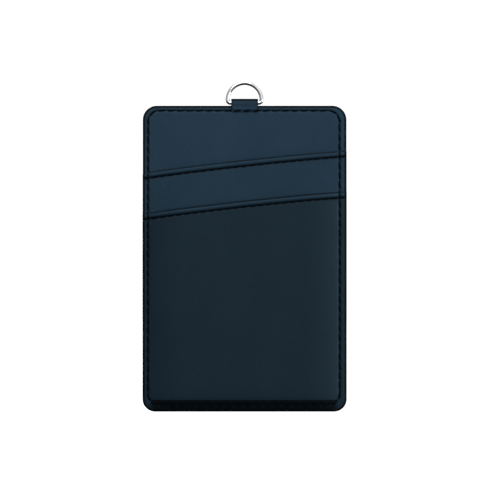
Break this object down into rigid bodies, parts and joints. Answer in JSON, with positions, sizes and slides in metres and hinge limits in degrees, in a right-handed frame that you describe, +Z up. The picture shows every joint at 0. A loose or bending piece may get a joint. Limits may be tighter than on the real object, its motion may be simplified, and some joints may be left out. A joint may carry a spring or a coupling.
{
  "type": "card holder",
  "caption": "Upright leather card holder with slanted card pockets, a clear-window ID pocket behind, and a swinging D-ring on a leather tab for a lanyard hook.",
  "frame": {"origin": "middle of the D-ring's free eye, in the ring's plane, where a lanyard hook goes through", "axes": "+Z up along the holder's length towards the ring, -Y out of the side with the slanted card pockets, +Y out of the side with the clear window, +X to the right seen from the card pocket side"},
  "size_m": [0.072, 0.0071, 0.1167],
  "materials": {
    "leather": "smooth navy-black synthetic leather, satin, fine grain",
    "lining": "thin woven polyester, dull",
    "greyboard": "plain greyboard, matt",
    "clear_film": "clear glossy film",
    "chrome": "polished",
    "thread": "twisted polyester thread"
  },
  "bodies": {
    "holder": {"slot_panel": "leather", "stiffener_board": "greyboard", "back_panel": "leather", "upper_pocket": "leather", "upper_pocket_lining": "lining", "lower_pocket": "leather", "lower_pocket_lining": "lining", "window_pocket": "leather", "window_film": "clear_film", "hanger_tab": "leather", "perimeter_stitching": "thread", "upper_pocket_stitching": "thread", "lower_pocket_stitching": "thread", "window_stitching": "thread", "window_mouth_stitching": "thread"},
    "ring": {"d_ring": "chrome"}
  },
  "joints": [
    {"name": "ring_swing", "type": "hinge", "parent": "holder", "child": "ring", "pos_m": [0, 0, -0.00382], "axis": [1, 0, 0], "range_deg": [-92, 105]}
  ]
}
